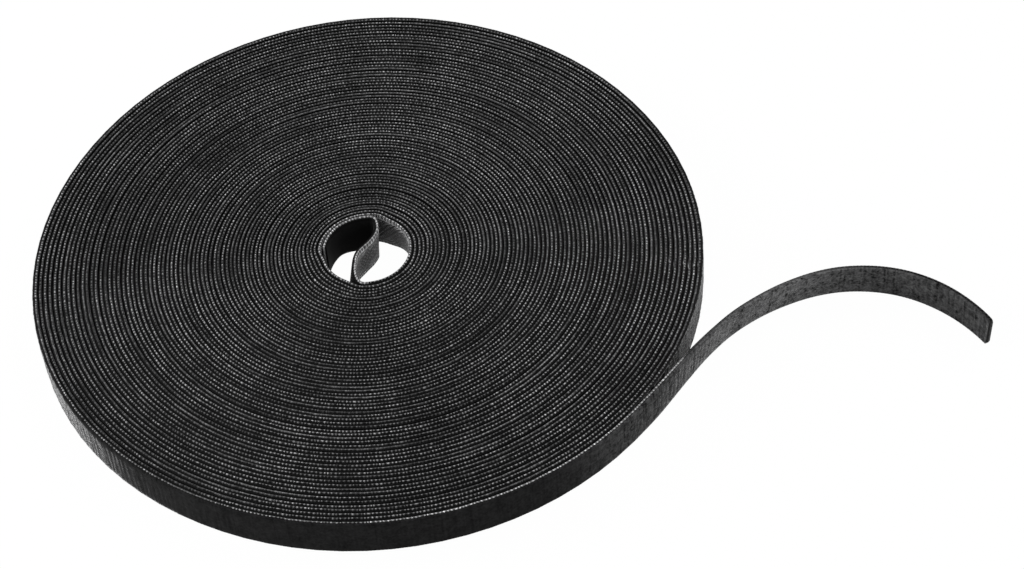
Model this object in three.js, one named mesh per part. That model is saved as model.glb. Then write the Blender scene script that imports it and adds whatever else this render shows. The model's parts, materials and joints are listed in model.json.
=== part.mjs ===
// A coreless roll of back-to-back hook and loop tape, lying flat on one edge of the tape.
// The tape is wound anticlockwise, seen from above, round a mandrel that has been pulled out.
// Its inner end still crosses the empty bore, where the mandrel's slot held it, and its folded tip
// lies between the bore and the first turn. Its outer end leaves the roll at a tangent and stands
// free in an arch. Units are millimetres and degrees, +Z up.
import * as THREE from 'three';

// Driving dimensions
const TAPE_WIDTH = 12.7;
const TAPE_THICKNESS = 1.35;
const HOOK_PLY_THICKNESS = 0.35;
const ROLL_DIAMETER = 203.2;
const BORE_DIAMETER = 25.4;
const WHOLE_LOOPS = 23;
const LOOP_GAP = 0.45;
const PLY_GAP = 0.3;
const FLEX_GAP = 0.3;

// Where the winding starts at the bore and where the free end leaves the rim, seen from above
const WINDING_START_ANGLE = 271.5;
const WINDING_END_ANGLE = 315.9;

// The free end: straight off the roll, then two bends to the right
const TAIL_STRAIGHT_LENGTH = 41;
const TAIL_FIRST_BEND_RADIUS = 58.8;
const TAIL_FIRST_BEND_ANGLE = -36.3;
const TAIL_LAST_BEND_RADIUS = 42.7;
const TAIL_LAST_BEND_ANGLE = -74;

// The inner end, from the first turn: a bend off the wall of the bore, an S across it, and a fold
// that lays its tip along the far wall
const INNER_BEND_RADIUS_SHARE = 0.252;
const INNER_BEND_ANGLE = -51.3;
const LOWER_SWEEP_RADIUS_SHARE = 0.735;
const UPPER_SWEEP_RADIUS_SHARE = 0.945;
const FOLD_RADIUS_SHARE = 0.173;
const FOLD_BEND_ANGLE = 89.5;
const FOLD_END_ANGLE = 87.3;
const TIP_END_ANGLE = 173;

// The first turns ride over the tip and over the start of the winding. Their ramps reach full
// height this lead ahead. Each loop after the second keeps a share of the bump beneath it.
const RAMP_ANGLE = 25;
const RAMP_LEAD_ANGLE = 8;
const BUMP_KEPT_SHARE = 0.5;

// How finely curves are stepped
const STEPS_PER_LOOP = 36;
const BEND_STEP_ANGLE = 7.5;
const NOSE_STEPS = 6;

const rollRadius = ROLL_DIAMETER / 2;
const boreRadius = BORE_DIAMETER / 2;
const halfTape = TAPE_THICKNESS / 2;
const flexReach = halfTape + FLEX_GAP;
const windingTurns = WHOLE_LOOPS + (WINDING_END_ANGLE - WINDING_START_ANGLE) / 360;

// The first and the last loop are one tape thick. Every loop between them stands for several
// turns of the real tape, and is as thick as it takes to fill the roll from bore to rim. Over one
// turn the strip swells to that thickness, and over another it thins again.
const loopPitch = TAPE_THICKNESS + LOOP_GAP;
const spareThickness =
  (rollRadius - boreRadius - TAPE_THICKNESS - windingTurns * loopPitch) / (windingTurns - 3);

const materials = {
  wound: new THREE.MeshStandardMaterial({ color: 0x202021, roughness: 0.9, metalness: 0 }),
  hook: new THREE.MeshStandardMaterial({ color: 0x161617, roughness: 0.7, metalness: 0 }),
  loop: new THREE.MeshStandardMaterial({ color: 0x343436, roughness: 0.95, metalness: 0 }),
};

function mesh(name, geometry, material) {
  const piece = new THREE.Mesh(geometry, material);
  piece.name = name;
  return piece;
}

// How far round a turn an angle lies from the start of the winding, as a share of the turn
function shareOfTurn(angle) {
  return THREE.MathUtils.euclideanModulo(angle - WINDING_START_ANGLE, 360) / 360;
}

// Rises from 0 to 1 over a ramp that is a lead short of a place
function rampTo(place, share) {
  const top = place - RAMP_LEAD_ANGLE / 360;
  return THREE.MathUtils.clamp(1 + (360 * (share - top)) / RAMP_ANGLE, 0, 1);
}

// Falls from 1 to 0 over a ramp past a place
function rampOff(place, share) {
  return THREE.MathUtils.clamp(1 - (360 * (share - place)) / RAMP_ANGLE, 0, 1);
}

// How far the strip's inner face stands out from an even spiral, so many turns from its start: it
// lies flat on the bore, rides over the folded tip, and climbs onto its own start.
function bumpAt(turns) {
  const share = turns % 1;
  const onTip = rampTo(shareOfTurn(FOLD_END_ANGLE), share);
  const overTip = Math.min(onTip, rampOff(shareOfTurn(TIP_END_ANGLE), share));
  const overStart = rampTo(1, share);
  const kept = BUMP_KEPT_SHARE ** Math.max(Math.floor(turns) - 1, 0);
  return loopPitch * (overTip + overStart - share) * kept;
}

// Thickness of the wound strip. A loop's outer face takes on the shape of the next inner face.
function thicknessAt(turns) {
  const swell = THREE.MathUtils.clamp(turns - 1, 0, 1);
  const thin = THREE.MathUtils.clamp(turns - (windingTurns - 2), 0, 1);
  return TAPE_THICKNESS + spareThickness * (swell - thin) + bumpAt(turns + 1) - bumpAt(turns);
}

// Radius of the strip's inner face: each loop lies one gap outside the loop that it covers.
function innerFaceAt(turns) {
  if (turns < 1) return boreRadius + loopPitch * turns + bumpAt(turns);
  return innerFaceAt(turns - 1) + thicknessAt(turns - 1) + LOOP_GAP;
}

// Cross-sections of the wound strip along its spiral. The last one falls on the end of the winding.
function windingSections() {
  const sections = [];
  const steps = Math.ceil(windingTurns * STEPS_PER_LOOP);
  for (let step = 0; step <= steps; step++) {
    const turns = Math.min(step / STEPS_PER_LOOP, windingTurns);
    const angle = THREE.MathUtils.degToRad(WINDING_START_ANGLE) + turns * 2 * Math.PI;
    const inner = innerFaceAt(turns);
    sections.push({ angle, inner, outer: inner + thicknessAt(turns) });
  }
  return sections;
}

function polar(radius, angle) {
  return new THREE.Vector2(radius * Math.cos(angle), radius * Math.sin(angle));
}

// One unbroken strip with four long faces and a flat face at each end.
function stripGeometry(sections) {
  const positions = [];
  for (const { angle, inner, outer } of sections) {
    const near = polar(inner, angle);
    const far = polar(outer, angle);
    positions.push(near.x, near.y, 0, far.x, far.y, 0);
    positions.push(far.x, far.y, TAPE_WIDTH, near.x, near.y, TAPE_WIDTH);
  }
  const indices = [0, 1, 2, 0, 2, 3];
  const last = 4 * (sections.length - 1);
  indices.push(last, last + 2, last + 1, last, last + 3, last + 2);
  for (let section = 0; section < sections.length - 1; section++) {
    for (let side = 0; side < 4; side++) {
      const a = 4 * section + side;
      const b = 4 * section + ((side + 1) % 4);
      indices.push(a, a + 4, b + 4, a, b + 4, b);
    }
  }
  const geometry = new THREE.BufferGeometry();
  geometry.setAttribute('position', new THREE.Float32BufferAttribute(positions, 3));
  geometry.setIndex(indices);
  geometry.computeVertexNormals();
  return geometry;
}

// Least air between neighbouring loops: every outer corner against the faces of the next loop.
function leastLoopGap(sections) {
  let least = Infinity;
  for (let index = 0; index + STEPS_PER_LOOP < sections.length; index++) {
    const corner = polar(sections[index].outer, sections[index].angle);
    const facing = index + STEPS_PER_LOOP;
    for (const other of [facing - 1, facing + 1]) {
      if (other >= sections.length) continue;
      const from = polar(sections[facing].inner, sections[facing].angle);
      const to = polar(sections[other].inner, sections[other].angle);
      const face = to.clone().sub(from);
      const share = THREE.MathUtils.clamp(corner.clone().sub(from).dot(face) / face.lengthSq(), 0, 1);
      least = Math.min(least, corner.distanceTo(from.addScaledVector(face, share)));
    }
  }
  return least;
}

function ahead(station, distance) {
  return polar(distance, station.heading).add(station.point);
}

// Stations along the middle of a free stretch of tape, from the origin towards +X.
// A straight is { length } and a bend is { radius, turn }, with turns to the left positive.
function centreline(stretches) {
  const stations = [{ point: new THREE.Vector2(), heading: 0 }];
  for (const stretch of stretches) {
    const start = stations.at(-1);
    if (stretch.length !== undefined) {
      stations.push({ point: ahead(start, stretch.length), heading: start.heading });
      continue;
    }
    const turn = THREE.MathUtils.degToRad(stretch.turn);
    const steps = Math.ceil(Math.abs(stretch.turn) / BEND_STEP_ANGLE);
    const radius = Math.sign(turn) * stretch.radius;
    for (let step = 1; step <= steps; step++) {
      const heading = start.heading + (turn * step) / steps;
      const dx = radius * (Math.sin(heading) - Math.sin(start.heading));
      const dy = radius * (Math.cos(start.heading) - Math.cos(heading));
      stations.push({ point: new THREE.Vector2(dx, dy).add(start.point), heading });
    }
  }
  return stations;
}

function beside(station, offset) {
  return polar(offset, station.heading + Math.PI / 2).add(station.point);
}

// One ply of a free stretch, between two offsets from the middle of the tape, left positive.
// Its root is its share of a half-round nose about the flex line, and its far end is cut square.
function plyGeometry(stations, rightOffset, leftOffset) {
  const outline = [];
  const from = Math.asin(rightOffset / halfTape);
  const to = Math.asin(leftOffset / halfTape);
  for (let step = 0; step <= NOSE_STEPS; step++) {
    const angle = from + ((to - from) * step) / NOSE_STEPS;
    outline.push(polar(halfTape, Math.PI - angle));
  }
  const free = stations.slice(1);
  outline.push(...free.map((station) => beside(station, leftOffset)));
  outline.push(...free.map((station) => beside(station, rightOffset)).reverse());
  return new THREE.ExtrudeGeometry(new THREE.Shape(outline), {
    depth: TAPE_WIDTH,
    bevelEnabled: false,
  });
}

// A free stretch that flexes about its own root: two plies in a group whose origin is the flex line.
function freeStretch(name, stretches, loopPlyOnRight) {
  const stations = centreline(stretches);
  const hookFace = loopPlyOnRight ? halfTape : -halfTape;
  const hookBack = hookFace - Math.sign(hookFace) * HOOK_PLY_THICKNESS;
  const loopBack = hookBack - Math.sign(hookFace) * PLY_GAP;
  const hookPly = plyGeometry(stations, Math.min(hookFace, hookBack), Math.max(hookFace, hookBack));
  const loopPly = plyGeometry(stations, Math.min(-hookFace, loopBack), Math.max(-hookFace, loopBack));
  const group = new THREE.Group();
  group.add(mesh(`${name}_hook_ply`, hookPly, materials.hook));
  group.add(mesh(`${name}_loop_ply`, loopPly, materials.loop));
  group.userData.tip = stations.at(-1);
  return group;
}

// Puts a stretch's flex line just past the square end of what it grows from.
function growFrom(parent, end, stretch) {
  const flexLine = ahead(end, flexReach);
  stretch.position.set(flexLine.x, flexLine.y, 0);
  stretch.rotation.z = end.heading;
  parent.add(stretch);
}

// The winding
const roll = new THREE.Group();
const sections = windingSections();
roll.add(mesh('wound_turns', stripGeometry(sections), materials.wound));
console.log(`least gap between loops: ${leastLoopGap(sections).toFixed(3)} mm`);

// The free end, with the loop side outwards as it lies on the roll
const rim = sections.at(-1);
const rimEnd = {
  point: polar((rim.inner + rim.outer) / 2, rim.angle),
  heading: rim.angle + Math.PI / 2,
};
const tailNear = freeStretch('tail_near', [{ length: TAIL_STRAIGHT_LENGTH }], true);
const tailMid = freeStretch(
  'tail_mid', [{ radius: TAIL_FIRST_BEND_RADIUS, turn: TAIL_FIRST_BEND_ANGLE }], true,
);
const tailTip = freeStretch(
  'tail_tip', [{ radius: TAIL_LAST_BEND_RADIUS, turn: TAIL_LAST_BEND_ANGLE }], true,
);
growFrom(roll, rimEnd, tailNear);
growFrom(tailNear, tailNear.userData.tip, tailMid);
growFrom(tailMid, tailMid.userData.tip, tailTip);

// The inner end, laid out backwards from the first turn, so its loop side is on the left
const bore = sections[0];
const boreEnd = {
  point: polar((bore.inner + bore.outer) / 2, bore.angle),
  heading: bore.angle - Math.PI / 2,
};
const innerBend = { radius: INNER_BEND_RADIUS_SHARE * boreRadius, turn: INNER_BEND_ANGLE };
const fold = { radius: FOLD_RADIUS_SHARE * boreRadius, turn: FOLD_BEND_ANGLE };
const lowerRadius = LOWER_SWEEP_RADIUS_SHARE * boreRadius;
const upperRadius = UPPER_SWEEP_RADIUS_SHARE * boreRadius;
const wallRadius = boreRadius + halfTape;

// Where a stretch that starts at a station ends
function endOf(station, stretches) {
  const end = centreline(stretches).at(-1);
  const point = end.point.clone().rotateAround(new THREE.Vector2(), station.heading);
  return { point: point.add(station.point), heading: station.heading + end.heading };
}

function reversed(station) {
  return { point: station.point, heading: station.heading + Math.PI };
}

// The S between the bend and the fold: a sweep to the right, the straight that touches both
// sweeps, and a sweep to the left.
function crossing() {
  const flexStraight = { length: flexReach };
  const entry = endOf(boreEnd, [flexStraight, innerBend]);
  const foldAngle = THREE.MathUtils.degToRad(FOLD_END_ANGLE);
  const foldEnd = { point: polar(wallRadius, foldAngle), heading: foldAngle + Math.PI / 2 };
  const foldBackwards = { radius: fold.radius, turn: -fold.turn };
  const exit = reversed(endOf(reversed(foldEnd), [foldBackwards, flexStraight]));
  const between = beside(exit, upperRadius).sub(beside(entry, -lowerRadius));
  const slant = Math.asin((lowerRadius + upperRadius) / between.length());
  const heading = between.angle() - slant;
  const turned = (from, to) => THREE.MathUtils.radToDeg(to - from) % 360;
  return [
    { radius: lowerRadius, turn: turned(entry.heading, heading) },
    { length: between.length() * Math.cos(slant) },
    { radius: upperRadius, turn: turned(heading, exit.heading) },
  ];
}

const innerEnd = freeStretch('inner_end', [innerBend, ...crossing()], false);
const alongWall = { radius: wallRadius, turn: TIP_END_ANGLE - FOLD_END_ANGLE };
const innerTip = freeStretch('inner_tip', [fold, alongWall], false);
growFrom(roll, boreEnd, innerEnd);
growFrom(innerEnd, innerEnd.userData.tip, innerTip);

// The origin is under the middle of the whole part's box, on the surface that it lies on.
const box = new THREE.Box3().setFromObject(roll);
const centre = box.getCenter(new THREE.Vector3());
roll.position.set(-centre.x, -centre.y, -box.min.z);

const tapeRoll = new THREE.Group();
tapeRoll.name = 'hook_and_loop_tape_roll';
tapeRoll.add(roll);

export default tapeRoll;
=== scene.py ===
import json
import math

import bpy
import numpy as np
from mathutils import Matrix, Vector


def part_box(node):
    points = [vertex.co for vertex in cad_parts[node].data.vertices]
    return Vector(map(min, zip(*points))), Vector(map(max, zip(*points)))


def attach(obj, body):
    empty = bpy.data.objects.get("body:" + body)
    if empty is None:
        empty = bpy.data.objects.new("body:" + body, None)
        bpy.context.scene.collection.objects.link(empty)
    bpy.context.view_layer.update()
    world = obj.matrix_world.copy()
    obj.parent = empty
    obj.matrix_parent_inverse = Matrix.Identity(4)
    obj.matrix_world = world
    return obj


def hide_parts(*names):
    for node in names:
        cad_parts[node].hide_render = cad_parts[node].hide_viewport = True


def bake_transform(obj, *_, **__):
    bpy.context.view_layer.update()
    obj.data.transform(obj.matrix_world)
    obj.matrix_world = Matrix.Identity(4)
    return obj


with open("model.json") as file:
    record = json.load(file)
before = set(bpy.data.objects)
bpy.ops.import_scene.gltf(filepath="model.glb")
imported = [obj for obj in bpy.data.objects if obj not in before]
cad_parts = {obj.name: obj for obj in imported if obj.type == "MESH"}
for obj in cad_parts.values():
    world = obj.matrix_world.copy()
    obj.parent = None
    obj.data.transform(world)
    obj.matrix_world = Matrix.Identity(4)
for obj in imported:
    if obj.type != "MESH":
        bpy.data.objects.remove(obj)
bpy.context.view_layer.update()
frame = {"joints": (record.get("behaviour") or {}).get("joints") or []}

scene = bpy.context.scene
rng = np.random.default_rng(2064)

# The roll's axis
# The roll has no core: it is wound round an empty bore. Its axis is found from the line where the
# free end peels off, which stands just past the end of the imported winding.
ROLL_RADIUS = 0.1016
FREE_END_ANGLE = math.radians(315.9)
FLEX_REACH = 0.000975
PACKED_TAPE = 0.00135


def joint_place(name):
    """Where a joint's axis stands, in plan."""
    joint = next(joint for joint in frame["joints"] if joint["name"] == name)
    return Vector((*joint["pos_m"][:2], 0))


peel = joint_place("tail_peel")
winding_low, winding_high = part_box("wound_turns")
TAPE_WIDTH = winding_high.z - winding_low.z
outwards = Vector((math.cos(FREE_END_ANGLE), math.sin(FREE_END_ANGLE), 0))
onwards = Vector((-outwards.y, outwards.x, 0))
roll_axis = peel - (ROLL_RADIUS - PACKED_TAPE / 2) * outwards - FLEX_REACH * onwards

# The camera
# A long lens half a metre back and above. Its place and tilt come from the roll's outline, the
# height of its rim and the shape of its bore in the photograph.
EYE_FROM_AXIS = Vector((0.04274, -0.51831, 0.58787))
EYE_ELEVATION = math.radians(49.03)
EYE_ROLL = math.radians(-4.76)
SENSOR_WIDTH = 36
LENS_SHARE = 2.5114
eye_right = Vector((1, 0, 0))
eye_up = Vector((0, math.sin(EYE_ELEVATION), math.cos(EYE_ELEVATION)))
eye_back = Vector((0, -math.cos(EYE_ELEVATION), math.sin(EYE_ELEVATION)))
tilted_right = math.cos(EYE_ROLL) * eye_right + math.sin(EYE_ROLL) * eye_up
tilted_up = math.cos(EYE_ROLL) * eye_up - math.sin(EYE_ROLL) * eye_right
camera_data = bpy.data.cameras.new("camera")
camera_data.sensor_width = SENSOR_WIDTH
camera_data.lens = SENSOR_WIDTH * LENS_SHARE
camera = bpy.data.objects.new("camera", camera_data)
eye_axes = Matrix((tilted_right, tilted_up, eye_back)).transposed().to_4x4()
camera.matrix_world = Matrix.Translation(roll_axis + EYE_FROM_AXIS) @ eye_axes
scene.collection.objects.link(camera)
scene.camera = camera
scene.view_settings.view_transform = "Standard"

# The light
# Even daylight from a white world, a broad soft lamp high at the back on the right, one on the left
# that rakes the rim, and a weaker one low at the front on the right for the side of the free end.
WHITE = (1, 1, 1, 1)
WORLD_LIGHT = 0.5


def soft_lamp(name, place, aim, size, power):
    """A square area lamp at a place, in metres from the roll's axis, pointing at another."""
    data = bpy.data.lights.new(name, "AREA")
    data.size = size
    data.energy = power
    lamp = bpy.data.objects.new(name, data)
    lamp.location = roll_axis + Vector(place)
    lamp.rotation_euler = (Vector(aim) - Vector(place)).to_track_quat("-Z", "Y").to_euler()
    scene.collection.objects.link(lamp)


class Wiring:
    """The nodes of a world, material or node group, with short ways to add and link them."""

    def __init__(self, tree):
        self.nodes = tree.nodes
        self.links = tree.links

    def feed(self, socket, value):
        """Links an input to another node's output, or sets it to a value."""
        if isinstance(value, bpy.types.NodeSocket):
            self.links.new(value, socket)
        else:
            socket.default_value = value

    def add(self, kind, **inputs):
        """A new node, with its inputs fed by name."""
        node = self.nodes.new(kind)
        for name, value in inputs.items():
            self.feed(node.inputs[name.replace("_", " ")], value)
        return node

    def math(self, operation, *values):
        """The result of a Math node on outputs or numbers."""
        node = self.nodes.new("ShaderNodeMath")
        node.operation = operation
        for socket, value in zip(node.inputs, values):
            self.feed(socket, value)
        return node.outputs[0]

    def choose(self, share, first, second):
        """A mix of two shaders."""
        mix = self.nodes.new("ShaderNodeMixShader")
        for socket, value in zip(mix.inputs, (share, first, second)):
            self.feed(socket, value)
        return mix.outputs[0]


soft_lamp("high_back_lamp", (0.95, 0.65, 1.2), (0, 0, 0), 0.9, 12)
soft_lamp("left_lamp", (-1.1, 0.16, 0.42), (0, 0, 0), 0.7, 18)
soft_lamp("low_right_lamp", (0.9, -0.9, 0.4), (0.08, 0, 0), 0.6, 4.6)
world = bpy.data.worlds.new("white_room")
scene.world = world
world.use_nodes = True
world_wiring = Wiring(world.node_tree)
world_wiring.nodes.clear()
world_rays = world_wiring.add("ShaderNodeLightPath")
seen_world = world_wiring.add("ShaderNodeBackground", Color=WHITE, Strength=1)
lighting_world = world_wiring.add("ShaderNodeBackground", Color=WHITE, Strength=WORLD_LIGHT)
world_look = world_wiring.choose(
    world_rays.outputs["Is Camera Ray"], lighting_world.outputs[0], seen_world.outputs[0])
world_wiring.add("ShaderNodeOutputWorld", Surface=world_look)

# The table top
# A large sheet of plain white paper under the roll. It shows white to the camera and in glossy
# reflections, and keeps a trace of the shadow that the tape drops on it.
PAPER_SIZE = 8
PAPER_DROP = 0.0002
PAPER_WHITE = (0.86, 0.86, 0.86, 1)
PAPER_GLOW_SHARE = 0.985
bpy.ops.mesh.primitive_plane_add(size=PAPER_SIZE, location=(0, 0, -PAPER_DROP))
paper = bpy.context.object
paper.name = "table_paper"
paper_material = bpy.data.materials.new("white_paper")
paper_material.use_nodes = True
paper_wiring = Wiring(paper_material.node_tree)
paper_wiring.nodes.clear()
paper_rays = paper_wiring.add("ShaderNodeLightPath")
seen_rays = paper_wiring.math(
    "MAXIMUM", paper_rays.outputs["Is Camera Ray"], paper_rays.outputs["Is Glossy Ray"])
glow_share = paper_wiring.math("MULTIPLY", seen_rays, PAPER_GLOW_SHARE)
paper_diffuse = paper_wiring.add("ShaderNodeBsdfDiffuse", Color=PAPER_WHITE)
paper_glow = paper_wiring.add("ShaderNodeEmission")
paper_look = paper_wiring.choose(glow_share, paper_diffuse.outputs[0], paper_glow.outputs[0])
paper_wiring.add("ShaderNodeOutputMaterial", Surface=paper_look)
paper.data.materials.append(paper_material)

# The tape
# Two black nylon tapes bonded back to back. Seen on edge, each turn is a pale line of weft loops
# close to its left side, where the hooks are, and black pile on its right.
TAPE_THICKNESS = 0.00133
WEFT_PITCH = 0.00111
HALF = TAPE_THICKNESS / 2
SHARP_CORNER = math.radians(38)
SAME_PLACE = 1e-6
EDGE_ZONE, HOOK_ZONE, LOOP_ZONE = 0, 1, 2
# Left of the middle is positive. Each corner is an offset and a depth in from the nearer edge, from
# the hooks over the woven edge to the pile, which is pressed flat in the winding and full outside.
HOOKED_EDGE = [
    (0.90 * HALF, 0.00060, HOOK_ZONE),
    (0.84 * HALF, 0.00022, EDGE_ZONE),
    (0.56 * HALF, 0.00010, EDGE_ZONE),
    (0.40 * HALF, 0.00001, EDGE_ZONE),
    (0.12 * HALF, 0.00000, EDGE_ZONE),
]
PRESSED_SECTION = HOOKED_EDGE + [
    (-0.06 * HALF, 0.00026, EDGE_ZONE),
    (-0.80 * HALF, 0.00040, EDGE_ZONE),
    (-0.97 * HALF, 0.00110, LOOP_ZONE),
]
FULL_SECTION = HOOKED_EDGE + [
    (-0.06 * HALF, 0.00005, EDGE_ZONE),
    (-0.45 * HALF, 0.00008, LOOP_ZONE),
    (-1.12 * HALF, 0.00016, LOOP_ZONE),
    (-1.28 * HALF, 0.00050, LOOP_ZONE),
    (-1.32 * HALF, 0.00150, LOOP_ZONE),
    (-1.32 * HALF, 0.00340, LOOP_ZONE),
    (-1.32 * HALF, 0.00520, LOOP_ZONE),
]


def tape_section(half_section):
    """Corners (offset, height) round the tape, and the zone of the face that follows each."""
    upper = [(offset, TAPE_WIDTH - depth) for offset, depth, zone in half_section]
    lower = [(offset, depth) for offset, depth, zone in reversed(half_section)]
    zones = [zone for offset, depth, zone in half_section]
    return upper + lower, [*zones, *reversed(zones[:-1]), HOOK_ZONE]


class Route:
    """The middle line of a stretch of tape in plan, with its heading and the run of tape so far."""

    def __init__(self, points, headings, runs):
        self.points = np.asarray(points, float)
        self.headings = np.asarray(headings, float)
        self.runs = np.asarray(runs, float)

    def part(self, start, end):
        """The stretch between two runs, with stations of its own at both ends."""
        inside = (self.runs > start + SAME_PLACE) & (self.runs < end - SAME_PLACE)
        return self.resampled(np.concatenate([[start], self.runs[inside], [end]]))

    def finer(self, step):
        """The same stretch with a station every step, to carry finer relief."""
        length = self.runs[-1] - self.runs[0]
        return self.resampled(np.linspace(self.runs[0], self.runs[-1], math.ceil(length / step) + 1))

    def resampled(self, runs):
        """The same stretch with its stations at other runs."""
        columns = (*self.points.T, self.headings)
        x, y, heading = (np.interp(runs, self.runs, values) for values in columns)
        return Route(np.column_stack([x, y]), heading, runs)

    def place(self, run):
        """Where a run of the tape stands, halfway up."""
        return Vector((*self.resampled([run]).points[0], TAPE_WIDTH / 2))

    def angles(self):
        """Where its stations stand round the roll's axis."""
        return np.arctan2(self.points[:, 1] - roll_axis.y, self.points[:, 0] - roll_axis.x)

    def move_out(self, distance):
        """Moves its stations away from the roll's axis."""
        angles = self.angles()
        self.points += distance[:, None] * np.column_stack([np.cos(angles), np.sin(angles)])

    def left(self):
        """The direction to the left of the tape at each station."""
        return np.column_stack([-np.sin(self.headings), np.cos(self.headings)])

    def move_left(self, distance):
        """Moves its stations to the left."""
        self.points += distance[:, None] * self.left()


def sweep_tape(name, route, materials, section=PRESSED_SECTION, fullness=None, lean=None, sunk=None,
               relief=None, rise=None, shear=None, painted_line_light=None, nap=None):
    """A closed length of tape swept along a route. fullness is its thickness as a share of the
    free tape's, lean shifts the top edge to the left and the foot to the right, sunk lowers the
    edges by a share, relief moves the side faces in or out, rise moves the edges up and shear moves
    points on along the tape. The brightness of its weft line is a painted light, raised where the
    edge catches more light and lowered on the free end, and nap is how bright its pile is."""
    corners, zones = tape_section(section)
    offsets, heights = np.array(corners).T
    count, around = len(route.runs), len(corners)
    left = route.left()
    across = np.tile(offsets, (count, 1))
    if fullness is not None:
        across = across * fullness[:, None]
    height = np.tile(heights, (count, 1))
    if relief is not None:
        across = across + relief(route.runs[:, None], offsets[None], heights[None])
    if lean is not None:
        across = across + lean[:, None] * (heights[None] / TAPE_WIDTH - 0.5)
    if sunk is not None:
        height = TAPE_WIDTH / 2 + (height - TAPE_WIDTH / 2) * (1 - sunk[:, None])
    if rise is not None:
        height = height + rise(route.runs[:, None], offsets[None], heights[None])
    xy = route.points[:, None, :] + across[:, :, None] * left[:, None, :]
    if shear is not None:
        ahead = np.column_stack([np.cos(route.headings), np.sin(route.headings)])
        xy = xy + shear(route.runs[:, None], heights[None])[:, :, None] * ahead[:, None, :]
    vertices = np.concatenate([xy, height[:, :, None]], axis=2).reshape(-1, 3)

    station = np.arange(count - 1)[:, None] * around
    corner = np.arange(around)[None]
    following = (corner + 1) % around
    quads = np.stack(
        [station + corner, station + around + corner, station + around + following, station + following],
        axis=2,
    ).reshape(-1, 4)
    mesh = bpy.data.meshes.new(name)
    caps = [list(range(around))[::-1], list(range((count - 1) * around, count * around))]
    mesh.from_pydata(vertices.tolist(), [], quads[:, ::-1].tolist() + [cap[::-1] for cap in caps])
    zone_of_face = np.tile(np.array(zones), count - 1)
    material_index = np.concatenate([zone_of_face, [EDGE_ZONE, EDGE_ZONE]]).astype(np.int32)
    mesh.polygons.foreach_set("material_index", material_index)
    mesh.polygons.foreach_set("use_smooth", np.ones(len(mesh.polygons), bool))

    run_of_vertex = np.repeat(route.runs, around)
    offset_of_vertex = np.tile(offsets, count)
    height_of_vertex = np.tile(heights, count)
    loop_vertex = np.zeros(len(mesh.loops), np.int32)
    mesh.loops.foreach_get("vertex_index", loop_vertex)
    loops_of_face = np.zeros(len(mesh.polygons), np.int32)
    mesh.polygons.foreach_get("loop_total", loops_of_face)
    on_edge = np.repeat(material_index == EDGE_ZONE, loops_of_face)
    side = np.where(on_edge, offset_of_vertex[loop_vertex], height_of_vertex[loop_vertex])
    run_map = mesh.uv_layers.new(name="run")
    run_map.data.foreach_set("uv", np.column_stack([run_of_vertex[loop_vertex], side]).ravel())
    # The state map holds a painted light on the weft line, and the pile's nap.
    states = [np.ones(count) if state is None else state for state in (painted_line_light, nap)]
    state_of_vertex = np.repeat(np.column_stack(states), around, axis=0)
    state_map = mesh.uv_layers.new(name="state")
    state_map.data.foreach_set("uv", state_of_vertex[loop_vertex].ravel())
    mesh.update()
    mesh.set_sharp_from_angle(angle=SHARP_CORNER)
    for material in materials:
        mesh.materials.append(material)
    tape = bpy.data.objects.new(name, mesh)
    scene.collection.objects.link(tape)
    return tape


# The finish of the tape
# Matt black nylon. The weft shows as pale beads along the edge with a painted light on them, the pile
# is a felt with a shader sheen and a painted sheen that grey it where it is seen at a low angle, and
# the hooks stand in close rows across the tape, with a painted sheen at low angles.
WEFT_WANDER = 1.2
HOOK_ROW_PITCH = 0.00075
HOOK_ROW_SHIFT = 0.00061
HOOK_FILE_PITCH = 0.0013
ROW_WAVE = 0.0009
LADDER_DEPTH = 0.0015
OUTER_RAIL_WIDTH = 0.00022
INNER_RAIL_WIDTH = 0.00028
FIELD_DEPTH = 0.00152
SLANT_DEPTH = 0.0035
RIB_SHADE_PITCH = 0.0017
# How fine the grain of lint is on the edge, on the hooks and in the felt, and the felt's clumps.
EDGE_LINT = 1700.0
HOOK_LINT = 2600.0
FELT_LINT = 1300.0
FELT_CLUMPS = 420.0


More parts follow.
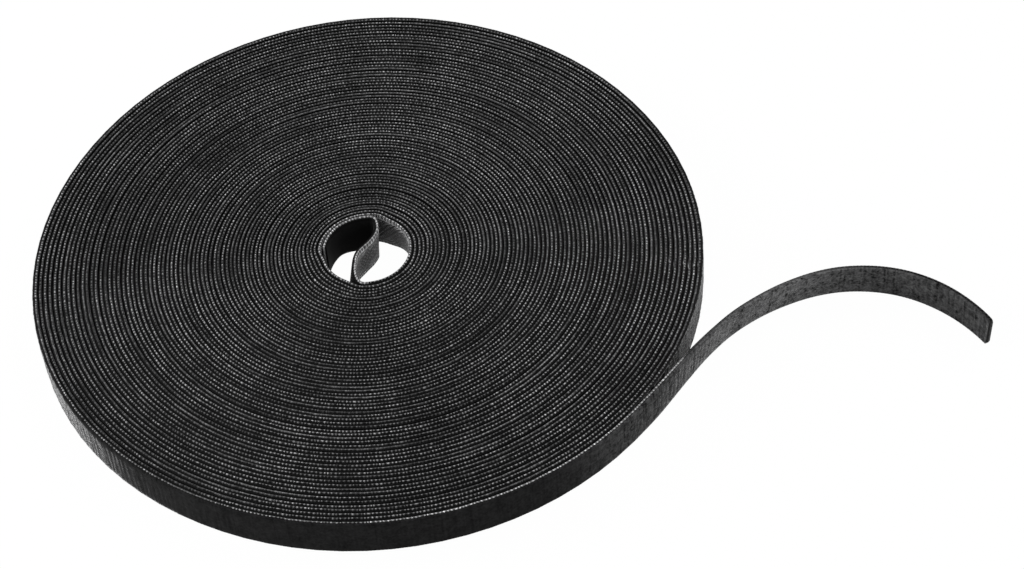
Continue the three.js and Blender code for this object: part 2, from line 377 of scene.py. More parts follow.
class FinishWiring(Wiring):
    """Wiring with what the tape's finishes are made of."""

    def product(self, first, *others):
        """Multiplies two or more values."""
        for other in others:
            first = self.math("MULTIPLY", first, other)
        return first

    def noise(self, scale, detail, run=None, roughness=0.5):
        """Noise along the run of tape, or all over the roll where none is given."""
        node = self.add("ShaderNodeTexNoise", Scale=scale, Detail=detail, Roughness=roughness)
        if run is None:
            place = self.add("ShaderNodeTexCoord")
            self.feed(node.inputs["Vector"], place.outputs["Object"])
        else:
            node.noise_dimensions = "1D"
            self.feed(node.inputs["W"], run)
        return node.outputs[0]

    def spread(self, value, low, high, to_low=0, to_high=1, interpolation="LINEAR"):
        """Spreads what lies between two values over another range, and holds it at the ends."""
        node = self.add(
            "ShaderNodeMapRange", Value=value, From_Min=low, From_Max=high, To_Min=to_low, To_Max=to_high)
        node.interpolation_type = interpolation
        return node.outputs[0]

    def band(self, value, low, high, soft):
        """1 between two values and 0 outside them, with soft flanks."""
        rise = self.spread(value, low - soft, low + soft, 0, 1, "SMOOTHSTEP")
        fall = self.spread(value, high - soft, high + soft, 1, 0, "SMOOTHSTEP")
        return self.math("MULTIPLY", rise, fall)

    def painted_sheen_share(self, low, high, most=1):
        """Rises where the surface is seen at a low angle, to lighten the colour there as a painted sheen.
        """
        slope = self.add("ShaderNodeLayerWeight", Blend=0.5)
        return self.spread(slope.outputs["Facing"], low, high, 0, most)

    def group(self, tree, **values):
        """The outputs of a node group, with its inputs fed by name."""
        node = self.nodes.new("ShaderNodeGroup")
        node.node_tree = tree
        for name, value in values.items():
            self.feed(node.inputs[name], value)
        return node.outputs

    def map_pair(self, name):
        """The two values of one of the tape's maps: "run" holds the run of tape so far and the place
        across it, both in metres, and "state" the painted light on its weft line and how bright its pile
        is."""
        uv = self.add("ShaderNodeUVMap")
        uv.uv_map = name
        split = self.add("ShaderNodeSeparateXYZ", Vector=uv.outputs[0])
        return split.outputs[0], split.outputs[1]

    def colour(self, shader, level, dark, light, relief, strength):
        """Greys the shader between two shades by a level, which also stands up as a fine relief."""
        mix = self.nodes.new("ShaderNodeMix")
        mix.data_type = "RGBA"
        mix.clamp_factor = False
        self.feed(mix.inputs["Factor"], level)
        mix.inputs["A"].default_value = (dark, dark, dark * 1.02, 1)
        mix.inputs["B"].default_value = (light, light, light * 1.01, 1)
        self.feed(shader.inputs["Base Color"], mix.outputs["Result"])
        bump = self.add("ShaderNodeBump", Distance=relief, Strength=strength, Height=level)
        self.feed(shader.inputs["Normal"], bump.outputs[0])


def new_finish(name, roughness, specular, sheen):
    """A material with its own Principled shader, and the wiring of its nodes."""
    material = bpy.data.materials.new(name)
    material.use_nodes = True
    wiring = FinishWiring(material.node_tree)
    shader = wiring.nodes["Principled BSDF"]
    shader.inputs["Roughness"].default_value = roughness
    shader.inputs["Specular IOR Level"].default_value = specular
    shader.inputs["Sheen Weight"].default_value = sheen
    shader.inputs["Sheen Roughness"].default_value = 0.18
    return material, wiring, shader


def new_group(name, inputs, outputs):
    """An empty node group with named inputs and their first values, and named outputs."""
    tree = bpy.data.node_groups.new(name, "ShaderNodeTree")
    for socket, value in inputs.items():
        made = tree.interface.new_socket(name=socket, in_out="INPUT", socket_type="NodeSocketFloat")
        made.default_value = value
    for socket in outputs:
        tree.interface.new_socket(name=socket, in_out="OUTPUT", socket_type="NodeSocketFloat")
    wiring = FinishWiring(tree)
    given = wiring.nodes.new("NodeGroupInput")
    result = wiring.nodes.new("NodeGroupOutput")
    return tree, wiring, given.outputs, result.inputs


def weft_beat():
    """Soft beads that repeat along the run, each a little brighter or duller than the next."""
    tree, wiring, given, result = new_group(
        "weft_beat", {"Run": 0.0, "Pitch": 0.001, "Wander": 0.2, "Seed": 0.0}, ("Bead", "Strength"))
    beats = wiring.math("DIVIDE", given["Run"], given["Pitch"])
    drift = wiring.noise(1, 1, run=wiring.math("MULTIPLY", beats, 0.37))
    phase = wiring.math("ADD", beats, wiring.math("MULTIPLY", drift, given["Wander"]))
    wave = wiring.math("SINE", wiring.math("MULTIPLY", phase, math.tau))
    wiring.feed(result["Bead"], wiring.math("MULTIPLY_ADD", wave, 0.5, 0.5))
    pair = wiring.add("ShaderNodeCombineXYZ", X=wiring.math("FLOOR", phase), Y=given["Seed"])
    cell = wiring.nodes.new("ShaderNodeTexWhiteNoise")
    cell.noise_dimensions = "2D"
    wiring.feed(cell.inputs["Vector"], pair.outputs[0])
    wiring.feed(result["Strength"], cell.outputs["Value"])
    return tree


def soft_patches():
    """Slow drifts of shade along the tape and over the roll, as it was wound tighter or looser."""
    tree, wiring, given, result = new_group(
        "soft_patches", {"Run": 0.0, "Low": 0.7, "High": 1.3}, ("Shade",))
    total = 0
    for scale, detail, weight in ((3.1, 1, 0.9), (31, 2, 0.7)):
        along = wiring.noise(scale, detail, run=given["Run"])
        total = wiring.math("MULTIPLY_ADD", along, weight, total)
    total = wiring.math("ADD", wiring.noise(55, 3), total)
    wiring.feed(result["Shade"], wiring.spread(total, 1.0, 1.6, given["Low"], given["High"]))
    return tree


def speckle():
    """Lint and loose fibre: a fine grain with a few brighter specks."""
    tree, wiring, given, result = new_group("speckle", {"Size": 2000.0}, ("Grain", "Specks"))
    grain = wiring.noise(given["Size"], 3, roughness=0.6)
    wiring.feed(result["Grain"], wiring.spread(grain, 0.36, 0.64))
    wiring.feed(result["Specks"], wiring.spread(grain, 0.6, 0.72))
    return tree


speckle_tree = speckle()
weft_beat_tree = weft_beat()
soft_patches_tree = soft_patches()


def woven_edge():
    """Tape edge: a beaded line of weft loops with a painted light on it, a faint fringe of hooks on its
    left, black pile right.
    """
    material, wiring, shader = new_finish("woven_edge", 0.7, 0.08, 0.0)
    run, side = wiring.map_pair("run")
    painted_line_light, nap = wiring.map_pair("state")
    shade = wiring.group(soft_patches_tree, Run=run, Low=0.35, High=1.45)["Shade"]
    lint = wiring.group(speckle_tree, Size=EDGE_LINT)
    beat = wiring.group(weft_beat_tree, Run=run, Pitch=WEFT_PITCH, Wander=WEFT_WANDER, Seed=1.0)
    swayed = wiring.math("MULTIPLY_ADD", wiring.noise(140, 2, run=run), -0.5 * HALF, side)
    line = wiring.band(swayed, -0.26 * HALF, 0.30 * HALF, 0.12 * HALF)
    fringe = wiring.band(swayed, 0.34 * HALF, 0.74 * HALF, 0.10 * HALF)
    # The dots run together here and there, and some are brighter than others.
    dotted = wiring.spread(wiring.noise(24, 1, run=run), 0.34, 0.50, 0.25)
    bead = wiring.math("POWER", beat["Bead"], 2.4)
    dots = wiring.math("MULTIPLY_ADD", bead, 0.62, -0.16)
    beaded = wiring.math("MULTIPLY_ADD", dots, dotted, 0.20)
    sparkle = wiring.math("MULTIPLY_ADD", beat["Strength"], 0.8, 0.4)
    grain = wiring.math("MULTIPLY_ADD", lint["Grain"], 0.7, 0.6)
    # The line's level is multiplied by its painted light, which brightens it where the edge catches more
    # light.
    line_level = wiring.product(beaded, sparkle, shade, painted_line_light, grain, line)
    fringe_level = wiring.product(grain, 0.055, fringe)
    level = wiring.math("ADD", line_level, fringe_level)
    # Threads of weft run on over the whole edge, faintly and in patches.
    woven_part = wiring.band(swayed, -0.55 * HALF, 0.9 * HALF, 0.15 * HALF)
    threads = wiring.product(wiring.math("POWER", beat["Bead"], 2), lint["Grain"], woven_part)
    level = wiring.math("MULTIPLY_ADD", threads, 0.04, level)
    # Painted highlight: where the painted light on the line is above one, a whole, broad bright line is
    # added.
    painted_extra_light = wiring.math("MAXIMUM", wiring.math("SUBTRACT", painted_line_light, 1), 0)
    painted_broad_band = wiring.band(swayed, -0.42 * HALF, 0.36 * HALF, 0.12 * HALF)
    painted_broad_level = wiring.product(wiring.math("MULTIPLY_ADD", bead, 0.5, 0.22), grain, painted_broad_band)
    level = wiring.math("MULTIPLY_ADD", painted_extra_light, painted_broad_level, level)
    # Where the pile is full, it stands over its side of the edge.
    fur_band = wiring.band(side, -TAPE_WIDTH, 0.3 * HALF, 0.0001)
    fur = wiring.product(wiring.spread(nap, 0.5, 1.0, 0, 0.12), fur_band)
    level = wiring.math("MULTIPLY_ADD", fur, grain, level)
    level = wiring.math("MULTIPLY_ADD", lint["Specks"], 0.015, level)
    wiring.colour(shader, level, 0.001, 0.55, 0.0002, 0.5)
    return material


def hook_side():
    """Side with the hooks: short dashes in rows, a ladder of weft loops along each edge, and a painted
    sheen at low angles.
    """
    material, wiring, shader = new_finish("hook_side", 0.4, 0.05, 0.0)
    run, side = wiring.map_pair("run")
    painted_line_light = wiring.map_pair("state")[0]
    lint = wiring.group(speckle_tree, Size=HOOK_LINT)
    wavy = wiring.math("MULTIPLY_ADD", wiring.noise(260, 1, run=run), ROW_WAVE, side)
    rows = wiring.group(weft_beat_tree, Run=wavy, Pitch=HOOK_ROW_PITCH, Wander=0.2, Seed=4.0)
    row_number = wiring.math("FLOOR", wiring.math("DIVIDE", wavy, HOOK_ROW_PITCH))
    shifted_run = wiring.math("MULTIPLY_ADD", row_number, HOOK_ROW_SHIFT, run)
    files = wiring.group(weft_beat_tree, Run=shifted_run, Pitch=HOOK_FILE_PITCH, Wander=1.6, Seed=5.0)
    dash = wiring.product(rows["Bead"], files["Bead"], lint["Grain"])
    from_middle = wiring.math("ABSOLUTE", wiring.math("SUBTRACT", side, TAPE_WIDTH / 2))
    depth = wiring.math("SUBTRACT", TAPE_WIDTH / 2, from_middle)
    # The ladder: two rails with rungs between them.
    beat = wiring.group(weft_beat_tree, Run=run, Pitch=WEFT_PITCH, Wander=WEFT_WANDER, Seed=1.0)
    outer_rail = wiring.band(depth, -TAPE_WIDTH, OUTER_RAIL_WIDTH, 0.00006)
    inner_rail = wiring.band(depth, LADDER_DEPTH - INNER_RAIL_WIDTH, LADDER_DEPTH, 0.0001)
    rails = wiring.math("ADD", outer_rail, inner_rail)
    between_rails = wiring.band(depth, 0.0002, 0.0012, 0.0001)
    rungs = wiring.product(between_rails, wiring.math("POWER", beat["Bead"], 1.4))
    ladder = wiring.math("MULTIPLY_ADD", rails, 1.1, rungs)
    # The outermost hooks lean along the edge in slanted dashes.
    slanted_run = wiring.math("MULTIPLY_ADD", side, 1.2, run)
    slants = wiring.group(weft_beat_tree, Run=slanted_run, Pitch=WEFT_PITCH, Wander=1.0, Seed=8.0)
    slant_reach = wiring.band(depth, LADDER_DEPTH, SLANT_DEPTH, 0.0008)
    slant = wiring.product(wiring.math("POWER", slants["Bead"], 3), slants["Strength"], slant_reach)
    ladder = wiring.math("ADD", ladder, slant)
    # Between packed turns the ladder is pressed into the pile of the next one.
    opened = wiring.math("ABSOLUTE", wiring.math("SUBTRACT", painted_line_light, 1))
    opened = wiring.math("MINIMUM", wiring.math("MULTIPLY", opened, 1.5), 1)
    sparkle = wiring.math("MULTIPLY_ADD", beat["Strength"], 0.6, 0.5)
    ladder = wiring.product(ladder, sparkle, opened)
    in_field = wiring.band(depth, FIELD_DEPTH, TAPE_WIDTH, 0.0001)
    field = wiring.product(in_field, wiring.math("MULTIPLY_ADD", dash, 0.7, 0.004))
    level = wiring.math("ADD", field, ladder)
    # Painted sheen: seen nearly along the tape, the hooks' ends are lightened into a pale sheen.
    painted_tip_sheen = wiring.math("MULTIPLY_ADD", dash, 2.2, wiring.math("MULTIPLY", lint["Grain"], 0.16))
    level = wiring.math("MULTIPLY_ADD", wiring.painted_sheen_share(0.80, 0.96, 0.6), painted_tip_sheen, level)
    wiring.colour(shader, level, 0.003, 0.75, 0.0002, 0.7)
    return material


def loop_pile():
    """Napped side of the tape: felt with clumps, faint ribs across it, and a painted sheen at low angles.
    """
    material, wiring, shader = new_finish("loop_pile", 0.9, 0.1, 0.5)
    run = wiring.map_pair("run")[0]
    nap = wiring.map_pair("state")[1]
    lint = wiring.group(speckle_tree, Size=FELT_LINT)
    clumps = wiring.group(speckle_tree, Size=FELT_CLUMPS)
    ribs = wiring.group(weft_beat_tree, Run=run, Pitch=RIB_SHADE_PITCH, Wander=3.0, Seed=7.0)
    level = wiring.math("MULTIPLY_ADD", lint["Grain"], 0.5, 0.05)
    level = wiring.math("MULTIPLY_ADD", clumps["Grain"], 0.45, level)
    level = wiring.math("MULTIPLY_ADD", wiring.product(ribs["Bead"], ribs["Strength"]), -0.25, level)
    level = wiring.math("MULTIPLY", level, nap)
    # Painted sheen: where the felt is seen at a low angle its colour is lightened, standing in for fibres
    # that catch the light; full pile gets it, pressed pile not.
    painted_sheen = wiring.math("POWER", wiring.painted_sheen_share(0.63, 0.86), 1.8)
    painted_sheen = wiring.product(painted_sheen, wiring.spread(nap, 0.03, 0.06, 0, 1.8))
    level = wiring.math("MULTIPLY_ADD", lint["Grain"], painted_sheen, level)
    wiring.colour(shader, level, 0.002, 0.18, 0.0003, 0.8)
    return material


tape_finishes = [woven_edge(), hook_side(), loop_pile()]

# The course of the winding
# One tape, wound anticlockwise from the bore to the rim: tight at the bore, then looser turn by
# turn. The first turns ride over the folded tip and over their own start, and those after them keep
# less and less of these two steps.
BORE_RADIUS = 0.0127
WINDING_START_ANGLE = math.radians(271.5)
WHOLE_TURNS = 67
PITCH_GROWTH = 0.00306
FIRST_TURN_SLACK = 0.0005
PACKED_SHARE = 0.97
STATIONS_PER_TURN = 90
FOLD_END_ANGLE = math.radians(87.3)
TIP_END_ANGLE = math.radians(169)
RAMP_ANGLE = math.radians(25)
RAMP_LEAD_ANGLE = math.radians(8)
BUMP_KEPT_SHARE = 0.8
# How far the last turn stands outside a true circle, every 30 degrees from +X. Turns further in
# follow it less.
OUT_OF_ROUND = [
    0.0006, 0.0, 0.0003, 0.0008, 0.0002, -0.0004, -0.0003, -0.0002, -0.0003, 0.0003, 0.0008, 0.0011,
]
ROUNDER_INWARDS = 2.5


def smooth(value):
    """Rises from 0 to 1 with soft shoulders."""
    value = np.clip(value, 0, 1)
    return value * value * (3 - 2 * value)


def curve_through(knots, values, at):
    """A smooth curve through a table of values."""
    knots, values = np.asarray(knots, float), np.asarray(values, float)
    slopes = np.gradient(values, knots)
    before = np.clip(np.searchsorted(knots, at) - 1, 0, len(knots) - 2)
    gap = knots[before + 1] - knots[before]
    share = np.clip((at - knots[before]) / gap, 0, 1)
    rising = smooth(share)
    return (
        values[before] * (1 - rising) + values[before + 1] * rising
        + slopes[before] * gap * share * (1 - share) ** 2
        - slopes[before + 1] * gap * share ** 2 * (1 - share)
    )


def out_of_round(angles):
    """How far the last turn stands outside a true circle at an angle."""
    steps = len(OUT_OF_ROUND)
    knots = np.arange(-2, steps + 2)
    values = [OUT_OF_ROUND[knot % steps] for knot in knots]
    return curve_through(knots, values, angles % math.tau / math.tau * steps)


def share_of_turn(angle):
    """How far round a turn an angle lies from the start of the winding."""
    return (angle - WINDING_START_ANGLE) % math.tau / math.tau


def ramp_to(place, share):
    """Rises from 0 to 1 on the way to a place, both as shares of a turn."""
    return smooth(1 + (share - place + RAMP_LEAD_ANGLE / math.tau) * math.tau / RAMP_ANGLE)


def ramp_off(place, share):
    """Falls from 1 to 0 past a place."""
    return smooth(1 - (share - place) * math.tau / RAMP_ANGLE)


def bump(turns):
    """How far a turn stands out from an even spiral, as a share of one thickness."""
    share = turns % 1
    over_tip = np.minimum(
        ramp_to(share_of_turn(FOLD_END_ANGLE), share), ramp_off(share_of_turn(TIP_END_ANGLE), share)
    )
    kept = BUMP_KEPT_SHARE ** np.maximum(np.floor(turns) - 1, 0)
    return (over_tip + ramp_to(1, share) - share) * kept


wound_turns = WHOLE_TURNS + (FREE_END_ANGLE - WINDING_START_ANGLE) / math.tau
bore_pitch = (ROLL_RADIUS - BORE_RADIUS - FIRST_TURN_SLACK) * PITCH_GROWTH
bore_pitch /= math.exp(PITCH_GROWTH * (wound_turns + 1)) - 1


def inner_face(turns):
    """Radius of a turn's inner face."""
    grown = np.exp(PITCH_GROWTH * turns)
    even = BORE_RADIUS + bore_pitch * (grown - 1) / PITCH_GROWTH
    return even + FIRST_TURN_SLACK * smooth(turns / 2) + bore_pitch * grown * bump(turns)


station_turns = np.linspace(0, wound_turns, round(STATIONS_PER_TURN * wound_turns) + 1)
turn_room = inner_face(station_turns + 1) - inner_face(station_turns)
station_radii = inner_face(station_turns) + turn_room / 2
station_fullness = np.minimum(PACKED_SHARE * turn_room / TAPE_THICKNESS, 1)
plan_angles = WINDING_START_ANGLE + math.tau * station_turns
station_radii += out_of_round(plan_angles) * (station_turns / wound_turns) ** ROUNDER_INWARDS
spiral_points = np.column_stack([
    roll_axis.x + station_radii * np.cos(plan_angles),
    roll_axis.y + station_radii * np.sin(plan_angles),
])
spiral_steps = np.diff(spiral_points, axis=0)
spiral_runs = np.concatenate([[0], np.cumsum(np.linalg.norm(spiral_steps, axis=1))])
step_headings = np.unwrap(np.arctan2(spiral_steps[:, 1], spiral_steps[:, 0]))
spiral_headings = np.concatenate([
    [WINDING_START_ANGLE + math.pi / 2],
    (step_headings[1:] + step_headings[:-1]) / 2,
    [step_headings[-1]],
])
spiral_headings[1:] += WINDING_START_ANGLE + math.pi / 2 - spiral_headings[1] + math.tau / STATIONS_PER_TURN
spiral = Route(spiral_points, spiral_headings, spiral_runs)
outer_turn_start = float(np.interp(wound_turns - 1, station_turns, spiral_runs))

# The inner end
# The tape's start, which the winder's slotted mandrel held. Its folded tip lies along the wall of
# the bore under the first turn, and from the fold it crosses the bore in an S to where it is wound.
INNER_BEND_RADIUS = 0.0032
INNER_BEND = math.radians(-51.3)
LOWER_SWEEP_RADIUS = 0.735 * BORE_RADIUS
UPPER_SWEEP_RADIUS = 0.945 * BORE_RADIUS
FOLD_RADIUS = 0.0022
FOLD_BEND = math.radians(89.5)
INNER_STEP = 0.00025
# Along the crossing, as shares of the way from the fold to the winding: how far it stands to the
# left of the bends above and how far its top edge leans that way, in mm.
CROSSING_COURSE = [
    (-0.12, 0, 0), (-0.03, 0.3, 0.1), (0.1, 0.4, 0.7), (0.2, 0.1, 0.8), (0.3, -0.15, 0.9),
    (0.39, 0, 0.7), (0.5, 0.4, 1.2), (0.6, 0.5, 2.1), (0.72, 0.3, 2.0), (0.82, -0.05, 1.5),
    (0.9, -0.15, 0.7), (1, 0, 0),
]
# How far the tip's top edge hangs over into the bore, where that fades out round the bore and, as a
# share of the way across, on the crossing, and how far the tip stands off the wall near its cut end.
TIP_HANG = 0.0017
TIP_HANG_END = math.radians(137)
TIP_HANG_FADE = math.radians(35)
CROSSING_HANG_FADE = 0.12
TIP_STANDS_OFF = 0.00035
STANDS_OFF_START = math.radians(125)
STANDS_OFF_SPAN = math.radians(40)
OPEN_PILE = 0.00022
PILE_OPENS_OVER = 0.004
PILE_CLOSES_OVER = 0.003
SCALLOP = 0.00012
FAINT_SCALLOP = 0.4
WEFT_LINE_MIDDLE = 0.26 * HALF
NEAR_EDGE = 0.0003
# Painted highlight: the weft line on the inner end and on the first turn is made brighter, as those edges
# catch more light.
INNER_PAINTED_LINE_LIGHT = 1.7
FIRST_TURN_PAINTED_LIGHT = 1.35
INNER_NAP = 0.03


class Layout:
    """A plan route laid out as straights and bends from a place and a heading."""

    def __init__(self, point, heading):
        self.points = [tuple(point)]
        self.headings = [heading]

    def straight(self, length):
        (x, y), heading = self.points[-1], self.headings[-1]
        self.points.append((x + length * math.cos(heading), y + length * math.sin(heading)))
        self.headings.append(heading)

    def bend(self, radius, turn, steps):
        """A bend to the left, or to the right where the turn is negative."""
        (x, y), heading = self.points[-1], self.headings[-1]
        radius = math.copysign(radius, turn)
        for turned in heading + turn * np.arange(1, steps + 1) / steps:
            self.points.append((
                x + radius * (math.sin(turned) - math.sin(heading)),
                y + radius * (math.cos(heading) - math.cos(turned)),
            ))
            self.headings.append(turned)

    def beside(self, offset):
        """The place at an offset to the left of its end."""
        (x, y), heading = self.points[-1], self.headings[-1]
        return Vector((x - offset * math.sin(heading), y + offset * math.cos(heading)))

    def runs(self):
        """How far along the route each of its places is."""
        steps = np.linalg.norm(np.diff(np.array(self.points), axis=0), axis=1)
        return np.concatenate([[0], np.cumsum(steps)])


def nearest_turn(angle):
    """The same turn without whole circles, up to half a circle to either side."""
    return (angle + math.pi) % math.tau - math.pi


# Laid out backwards, from the start of the winding to the cut end of the tip.
inner = Layout(spiral_points[0], WINDING_START_ANGLE - math.pi / 2)
inner.straight(FLEX_REACH)
inner.bend(INNER_BEND_RADIUS, INNER_BEND, steps=24)
bend_done = len(inner.points) - 1
wall_radius = BORE_RADIUS + HALF
fold_end = roll_axis.xy + wall_radius * Vector((math.cos(FOLD_END_ANGLE), math.sin(FOLD_END_ANGLE)))
unfolded = Layout(fold_end, FOLD_END_ANGLE - math.pi / 2)
unfolded.bend(FOLD_RADIUS, -FOLD_BEND, steps=8)
unfolded.straight(FLEX_REACH)
span = unfolded.beside(-UPPER_SWEEP_RADIUS) - inner.beside(-LOWER_SWEEP_RADIUS)
slant = math.asin((LOWER_SWEEP_RADIUS + UPPER_SWEEP_RADIUS) / span.length)
across_heading = math.atan2(span.y, span.x) - slant
inner.bend(LOWER_SWEEP_RADIUS, nearest_turn(across_heading - inner.headings[-1]), steps=32)
inner.straight(span.length * math.cos(slant))
across_index = len(inner.points) - 1
upper_sweep = nearest_turn(unfolded.headings[-1] + math.pi - inner.headings[-1])
inner.bend(UPPER_SWEEP_RADIUS, upper_sweep, steps=32)
inner.straight(FLEX_REACH)
fold_index = len(inner.points) - 1
inner.bend(FOLD_RADIUS, FOLD_BEND, steps=30)
fold_done = len(inner.points) - 1
inner.bend(wall_radius, TIP_END_ANGLE - FOLD_END_ANGLE, steps=40)
inner_runs = -inner.runs()
inner_route = Route(
    np.array(inner.points)[::-1], np.array(inner.headings)[::-1] + math.pi, inner_runs[::-1]
).finer(INNER_STEP)
tip_angles = inner_route.angles()
on_tip = inner_route.runs < inner_runs[fold_done]
stands_off = TIP_STANDS_OFF * smooth((tip_angles - STANDS_OFF_START) / STANDS_OFF_SPAN)
inner_route.move_out(-stands_off * on_tip)
crossed = 1 - inner_route.runs / inner_runs[fold_index]
course_shares, crossing_asides, crossing_leans = zip(*CROSSING_COURSE)
hang_on_tip = smooth((TIP_HANG_END - tip_angles) / TIP_HANG_FADE)
hang_on_crossing = smooth(1 - crossed / CROSSING_HANG_FADE)
tip_hang = TIP_HANG * np.where(on_tip, hang_on_tip, hang_on_crossing)
inner_lean = curve_through(course_shares, crossing_leans, crossed) / 1000 + tip_hang
inner_route.move_left(curve_through(course_shares, crossing_asides, crossed) / 1000 - tip_hang / 2)


def scalloped(runs, offsets, heights):
    """The weft loops stand out along both edges of the tape."""
    loops = SCALLOP * (0.5 + 0.5 * np.sin(math.tau * runs / WEFT_PITCH)) - SCALLOP
    at_line = np.where(np.abs(offsets - WEFT_LINE_MIDDLE) < 0.5 * HALF, 1.0, FAINT_SCALLOP)
    top = heights > TAPE_WIDTH - NEAR_EDGE
    foot = heights < NEAR_EDGE
    return loops * at_line * (top * 1.0 - foot * 1.0)


def open_pile(runs, offsets, heights):
    """Away from the wall of the bore the pile isn't pressed flat."""
    opening = smooth((runs - inner_runs[fold_index]) / PILE_OPENS_OVER)
    closing = smooth((inner_runs[bend_done] - runs) / PILE_CLOSES_OVER)
    return np.where(offsets < -0.5 * HALF, -OPEN_PILE * opening * closing, 0.0)


crossing_run = inner_runs[across_index]
inner_pieces = {}
for piece_name, start, end in (
    ("inner_tip", inner_runs[-1], crossing_run),
    ("inner_crossing", crossing_run, 0),
):
    route = inner_route.part(start, end)
    lean = np.interp(route.runs, inner_route.runs, inner_lean)
    piece = sweep_tape(
        piece_name, route, tape_finishes, lean=lean, relief=open_pile, rise=scalloped,
        painted_line_light=np.full(len(route.runs), INNER_PAINTED_LINE_LIGHT), nap=np.full(len(route.runs), INNER_NAP),
    )
    inner_pieces[piece_name] = piece
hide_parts("inner_end_hook_ply", "inner_end_loop_ply")
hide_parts("inner_tip_hook_ply", "inner_tip_loop_ply")
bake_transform(inner_pieces["inner_crossing"], "roll", "inner_end",
         inner_route.place(0), inner_route.place(inner_runs[bend_done]))
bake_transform(inner_pieces["inner_tip"], "inner_end", "inner_tip",
         inner_route.place(inner_runs[fold_index]), inner_route.place(inner_runs[fold_done]))

# The wound turns
# All the turns but the outermost, edge on edge. Each turn sits a hair higher or lower than the next
# and leans a little in or out, as tape does when it comes off a winder. At the right of the bore the
# feet of the first turns are spread outwards.


def drift(runs, spacing, least, most):
    """A smooth random drift along the run, between two values."""
    knots = np.arange(runs[0], runs[-1] + 2 * spacing, spacing)
    return np.interp(runs, knots, rng.uniform(least, most, len(knots)))


WOUND_NAP = 0.067
# In turns: where the first turn's painted highlight on its line starts, and how far it takes to come and
# go.
FIRST_HIGHLIGHT_START = 0.1
FIRST_HIGHLIGHT_FADE = 0.2
# How far apart along the tape it sinks and leans at random, how much, and from how far on in full.
SINK_SPACING = 0.11
MOST_SUNK = 0.04
LEAN_SPACING = 0.09
MOST_LEAN = 0.00022
EVEN_START = 0.15
# How far the feet of the first turns are spread, over how many turns, and where round the bore.
FLARE = 0.0014
FLARE_TURNS = 7
FLARE_MIDDLE = math.radians(42)
FLARE_HALF = math.radians(38)
FLARE_CLEARANCE = 0.0001
wound_route = spiral.part(0, outer_turn_start)
wound_fullness = np.interp(wound_route.runs, spiral_runs, station_fullness)
turn_number = np.interp(wound_route.runs, spiral_runs, station_turns)
# The first turn's painted highlight on its weft line.
highlight_comes = smooth((turn_number - FIRST_HIGHLIGHT_START) / FIRST_HIGHLIGHT_FADE)
highlight_goes = smooth((1 - turn_number) / FIRST_HIGHLIGHT_FADE)
wound_painted_light = 1 + (FIRST_TURN_PAINTED_LIGHT - 1) * highlight_comes * highlight_goes
unevenness = smooth(wound_route.runs / EVEN_START)
turn_sunk = drift(wound_route.runs, SINK_SPACING, 0.0, MOST_SUNK) * unevenness
turn_lean = drift(wound_route.runs, LEAN_SPACING, -MOST_LEAN, MOST_LEAN) * unevenness
flare = FLARE * smooth(1 - np.abs(wound_route.angles() - FLARE_MIDDLE) / FLARE_HALF)
flare *= np.clip(1 - turn_number / FLARE_TURNS, 0, 1)
turn_lean += flare
wound_route.move_out((flare / 2 + FLARE_CLEARANCE) * (flare > 0))
wound = sweep_tape(
    "wound_tape", wound_route, tape_finishes, fullness=wound_fullness, lean=turn_lean, sunk=turn_sunk,
    painted_line_light=wound_painted_light, nap=np.full(len(wound_route.runs), WOUND_NAP),
)
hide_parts("wound_turns")
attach(wound, "roll")

# The outer turn and the free end
# The same tape for its last turn, which leaves the roll at a tangent and stands in an arch. Its
# stretches meet at the back of the roll and halfway between the lines where the free end flexes.
TAIL_FIRST_BEND_RADIUS = 0.0588
TAIL_FIRST_BEND = math.radians(-36.3)
TAIL_LAST_BEND_RADIUS = 0.0427
TAIL_LAST_BEND = math.radians(-74)
COARSE_STEP = 0.001
FINE_STEP = 0.00028
PEEL_STRETCH_TURN = 0.43
# Along the free end in mm: the run, how far it stands to the left of the bends above, and its lean.
TAIL_COURSE = [
    (12, -0.75, -0.1), (20, -0.2, -0.45), (28, 0.38, -0.85), (36, 0.65, -1.5), (46, 0.35, -2.0),
    (56, -0.1, -2.25), (68, -0.25, -2.1), (80, -0.2, -1.9), (92, -0.6, -1.7), (104, -0.95, -1.35),
    (116, -1.45, -1.0), (128, -1.75, -0.9), (137, -1.65, -0.9),
]
# How full and bright its pile is along the run, which the winding pressed and handling roughened.
NAP_COURSE = [
    (-36, 0.067), (-22, 0.12), (-10, 0.31), (2, 0.45), (14, 0.42), (22, 0.5), (30, 0.63), (38, 0.8),
    (46, 0.87), (54, 0.98), (62, 1.1), (70, 1.1), (78, 0.86), (86, 0.7), (94, 0.58), (102, 0.54),
    (126, 0.36),
]
CUT_SLANT = 0.0014
CUT_REACH = 0.0005
CUT_BLEND = 0.006
CUT_CORNER = 0.0009
TUFT_SPACING = 0.0007
TUFT = 0.00006
RIB_PITCH = 0.0018
FIRST_RIBS = 0.3
RIBS_GROW_OVER = 0.03
RIB_SWAY = 2
RIB_SWAY_RUN = 0.004
PRESSED_PILE = 0.0003
PRESSED_REACH = 0.05
PRESSED_FADE = 0.02
# The painted light on the weft's line of the outer turn and of the free end: how bright it is, and, from
# the line where it peels off, where it has become bright and where it starts to go dim.
OUTER_PAINTED_LINE_LIGHT = 1.6
TAIL_PAINTED_LINE_LIGHT = 0.15
PAINTED_BRIGHT_FROM = -0.055
PAINTED_BRIGHT_FADE = 0.04
DIM_FROM = 0.0235
DIM_FADE = 0.004

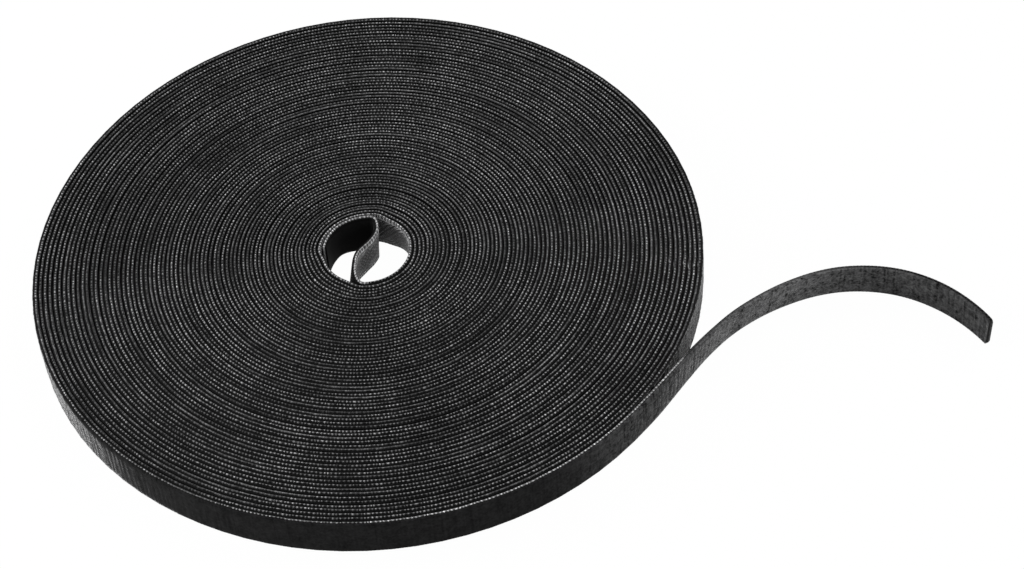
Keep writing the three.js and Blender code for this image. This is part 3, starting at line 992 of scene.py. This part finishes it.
tail = Layout(peel.xy - FLEX_REACH * onwards.xy, FREE_END_ANGLE + math.pi / 2)
tail.straight((joint_place("tail_mid_flex") - peel).length + FLEX_REACH)
mid_index = len(tail.points) - 1
tail.bend(TAIL_FIRST_BEND_RADIUS, TAIL_FIRST_BEND, steps=24)
tail.straight(FLEX_REACH)
tip_index = len(tail.points) - 1
tail.bend(TAIL_LAST_BEND_RADIUS, TAIL_LAST_BEND, steps=48)
tail_runs = tail.runs()
free_end = Route(tail.points, tail.headings, tail_runs).finer(COARSE_STEP)
course_runs, asides, leans = (np.array([0, *column]) / 1000 for column in zip(*TAIL_COURSE))
asides[0] = -out_of_round(FREE_END_ANGLE)
free_end.move_left(curve_through(course_runs, asides, free_end.runs))
outer_spiral = spiral.part(outer_turn_start, spiral_runs[-1])
whole_circles = round((outer_spiral.headings[-1] - free_end.headings[0]) / math.tau) * math.tau
tail_runs = spiral_runs[-1] + tail_runs
free_route = Route(
    np.concatenate([outer_spiral.points, free_end.points[1:]]),
    np.concatenate([outer_spiral.headings, free_end.headings[1:] + whole_circles]),
    np.concatenate([outer_spiral.runs, spiral_runs[-1] + free_end.runs[1:]]),
)
peel_run = spiral_runs[-1] + FLEX_REACH
mid_run = tail_runs[mid_index]
tip_run = tail_runs[tip_index]
back_run = spiral_runs[-1] - PEEL_STRETCH_TURN * (spiral_runs[-1] - outer_turn_start)
free_stretches = [
    ("outer_turn", outer_turn_start, back_run),
    ("peel_stretch", back_run, (peel_run + mid_run) / 2),
    ("tail_middle", (peel_run + mid_run) / 2, (mid_run + tip_run) / 2),
    ("tail_tip", (mid_run + tip_run) / 2, float(tail_runs[-1])),
]


def tufted(runs, offsets, heights):
    """Tufts of pile on the loop side, and ribs across it that grow towards the cut end. The pile is
    still pressed flat where the free end lay on it."""
    knots = np.arange(runs[0, 0], runs[-1, 0] + 2 * TUFT_SPACING, TUFT_SPACING)
    tufts = np.column_stack([
        np.interp(runs[:, 0], knots, rng.uniform(-TUFT, TUFT, len(knots))) for offset in offsets[0]
    ])
    growing = FIRST_RIBS + (1 - FIRST_RIBS) * smooth((runs - tip_run) / RIBS_GROW_OVER)
    swayed = math.tau * runs / RIB_PITCH + RIB_SWAY * np.sin(runs / RIB_SWAY_RUN)
    ribs = TUFT * growing * np.sin(swayed)
    pressed = PRESSED_PILE * smooth((outer_turn_start + PRESSED_REACH - runs) / PRESSED_FADE)
    return np.where(offsets < -1.2 * HALF, tufts + ribs + pressed, 0.0)


def cut_askew(runs, heights):
    """The tape was cut a little askew, longer at its top edge."""
    near_cut = smooth((runs - tail_runs[-1] + CUT_BLEND) / CUT_BLEND)
    return near_cut * (CUT_REACH + CUT_SLANT * (heights / TAPE_WIDTH - 0.5))


nap_runs, nap_levels = zip(*NAP_COURSE)
free_pieces = {}
for stretch_name, start, end in free_stretches:
    route = free_route.part(start, end).finer(FINE_STEP)
    runs = route.runs
    past_peel = runs - peel_run
    corner = np.clip(1 - (tail_runs[-1] - runs) / CUT_CORNER, 0, 1)
    worn_corner = 2 * CUT_CORNER / TAPE_WIDTH * (1 - np.sqrt(1 - corner ** 2))
    # Painted highlight on the weft line near the peel, dimmed again on the free end.
    painted_bright_line = 1 + (OUTER_PAINTED_LINE_LIGHT - 1) * smooth(1 + (past_peel - PAINTED_BRIGHT_FROM) / PAINTED_BRIGHT_FADE)
    dimming = smooth((past_peel - DIM_FROM) / DIM_FADE)
    piece = sweep_tape(
        stretch_name, route, tape_finishes, section=FULL_SECTION,
        lean=curve_through(course_runs, leans, runs - spiral_runs[-1]), sunk=worn_corner,
        relief=tufted, rise=scalloped, shear=cut_askew,
        painted_line_light=painted_bright_line + (TAIL_PAINTED_LINE_LIGHT - painted_bright_line) * dimming,
        nap=np.interp(1000 * (runs - spiral_runs[-1]), nap_runs, nap_levels),
    )
    free_pieces[stretch_name] = piece
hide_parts("tail_near_hook_ply", "tail_near_loop_ply")
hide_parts("tail_mid_hook_ply", "tail_mid_loop_ply")
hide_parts("tail_tip_hook_ply", "tail_tip_loop_ply")
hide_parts("wound_turns")
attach(free_pieces["outer_turn"], "roll")
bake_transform(free_pieces["peel_stretch"])
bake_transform(free_pieces["tail_middle"])
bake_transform(free_pieces["tail_tip"])
